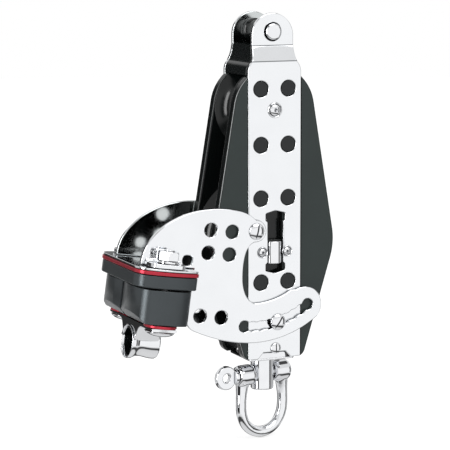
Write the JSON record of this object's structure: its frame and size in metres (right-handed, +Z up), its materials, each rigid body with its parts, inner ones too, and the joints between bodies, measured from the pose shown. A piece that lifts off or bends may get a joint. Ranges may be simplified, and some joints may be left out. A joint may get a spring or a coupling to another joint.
{
  "type": "fiddle ratchet block",
  "caption": "Fiddle block for a sheet tackle: in-line sheaves with a becket, a ratchet switch, a swivelling bow shackle and a tilting arm that carries a cam cleat.",
  "frame": {"origin": "centre of the becket pin, midway between the two lugs", "axes": "+Z up the block from shackle to becket, +Y through the cheeks away from the ratchet switch, -X towards the cam cleat"},
  "size_m": [0.1294, 0.0728, 0.2521],
  "materials": {
    "polished_steel": "mirror-polished stainless steel",
    "chrome": "bright polished",
    "cheek": "satin moulded",
    "black_gloss": "glossy moulded",
    "charcoal_anodised": "dark anodised, satin",
    "red_anodised": "red anodised",
    "inner_steel": "turned steel",
    "bearing": "moulded bearing plastic"
  },
  "bodies": {
    "block": {"near_cheek": "cheek", "near_strap": "polished_steel", "near_upper_axle_screw": "chrome", "near_hub_screw_left": "chrome", "near_hub_screw_right": "chrome", "near_pivot_screw": "chrome", "near_lock_screw": "chrome", "far_cheek": "cheek", "far_strap": "polished_steel", "far_upper_axle_screw": "chrome", "far_hub_screw_left": "chrome", "far_hub_screw_right": "chrome", "far_pivot_screw": "chrome", "far_lock_screw": "chrome", "becket_pin": "chrome", "becket_bobbin": "black_gloss", "head_block": "black_gloss", "upper_axle_tube": "inner_steel", "upper_inner_race": "inner_steel", "lower_hub": "inner_steel", "lower_inner_race": "inner_steel", "swivel_block": "chrome", "set_screw": "chrome", "right_pawl_pin": "inner_steel", "left_pawl_pin": "inner_steel"},
    "upper_sheave": {"upper_sheave": "black_gloss"},
    "upper_cage": {"upper_ball_cage": "bearing"},
    "lower_sheave": {"lower_sheave": "black_gloss"},
    "lower_cage": {"lower_ball_cage": "bearing"},
    "switch": {"ratchet_switch": "chrome"},
    "right_pawl": {"right_pawl": "inner_steel"},
    "left_pawl": {"left_pawl": "inner_steel"},
    "arm": {"near_arm_plate": "polished_steel", "near_cam_bolt": "chrome", "near_bolt_nut": "chrome", "near_bolt_washer": "chrome", "near_red_washer": "red_anodised", "near_cam_bush": "bearing", "far_arm_plate": "polished_steel", "far_cam_bolt": "chrome", "far_bolt_nut": "chrome", "far_bolt_washer": "chrome", "far_red_washer": "red_anodised", "far_cam_bush": "bearing", "cleat_platform": "polished_steel", "cleat_gasket": "red_anodised", "cleat_base": "charcoal_anodised", "fairlead": "chrome"},
    "near_cam": {"near_cam": "charcoal_anodised"},
    "far_cam": {"far_cam": "charcoal_anodised"},
    "swivel": {"swivel_post": "chrome", "swivel_nut": "inner_steel"},
    "bow": {"shackle_bow": "chrome"},
    "pin": {"shackle_pin": "chrome"}
  },
  "joints": [
    {"name": "upper_sheave_spin", "type": "hinge", "parent": "block", "child": "upper_sheave", "pos_m": [0, 0, -0.0448], "axis": [0, 1, 0], "continuous": true},
    {"name": "upper_cage_spin", "type": "hinge", "parent": "block", "child": "upper_cage", "pos_m": [0, 0, -0.0448], "axis": [0, 1, 0], "continuous": true},
    {"name": "lower_sheave_spin", "type": "hinge", "parent": "block", "child": "lower_sheave", "pos_m": [0, 0, -0.1215], "axis": [0, 1, 0], "continuous": true},
    {"name": "lower_cage_spin", "type": "hinge", "parent": "block", "child": "lower_cage", "pos_m": [0, 0, -0.1215], "axis": [0, 1, 0], "continuous": true},
    {"name": "ratchet_switch_slide", "type": "slide", "parent": "block", "child": "switch", "axis": [0, 0, 1], "range_m": [0, 0.0122]},
    {"name": "right_pawl_turn", "type": "hinge", "parent": "block", "child": "right_pawl", "pos_m": [0.0095, -0.011, -0.139], "axis": [0, 1, 0], "range_deg": [0, 12.1]},
    {"name": "left_pawl_turn", "type": "hinge", "parent": "block", "child": "left_pawl", "pos_m": [-0.0095, -0.011, -0.139], "axis": [0, 1, 0], "range_deg": [-12.1, 0]},
    {"name": "arm_tilt", "type": "hinge", "parent": "block", "child": "arm", "pos_m": [-0.0127, 0, -0.1142], "axis": [0, 1, 0], "range_deg": [-20, 20]},
    {"name": "near_cam_turn", "type": "hinge", "parent": "arm", "child": "near_cam", "pos_m": [-0.06715, -0.027, -0.10645], "axis": [0.1409, 0, 0.99], "range_deg": [0, 35], "stiffness_Nm_per_rad": 0.06, "springref_deg": -28.65},
    {"name": "far_cam_turn", "type": "hinge", "parent": "arm", "child": "far_cam", "pos_m": [-0.06715, 0.027, -0.10645], "axis": [-0.1409, 0, -0.99], "range_deg": [0, 35], "stiffness_Nm_per_rad": 0.06, "springref_deg": -28.65},
    {"name": "post_swivel", "type": "hinge", "parent": "block", "child": "swivel", "pos_m": [0, 0, -0.19], "axis": [0, 0, 1], "continuous": true},
    {"name": "shackle_swing", "type": "hinge", "parent": "swivel", "child": "bow", "pos_m": [0, 0, -0.2024], "axis": [0.9781, 0.2079, 0], "range_deg": [-85, 85]},
    {"name": "shackle_pin_turn", "type": "hinge", "parent": "bow", "child": "pin", "pos_m": [0, 0, -0.2024], "axis": [0.9781, 0.2079, 0], "continuous": true}
  ],
  "couplings": [
    {"joint": "upper_cage_spin", "follows": "upper_sheave_spin", "ratio": 0.5955},
    {"joint": "lower_cage_spin", "follows": "lower_sheave_spin", "ratio": 0.5629},
    {"joint": "right_pawl_turn", "follows": "ratchet_switch_slide", "rad_per_m": 17.17},
    {"joint": "left_pawl_turn", "follows": "ratchet_switch_slide", "rad_per_m": -17.17}
  ]
}
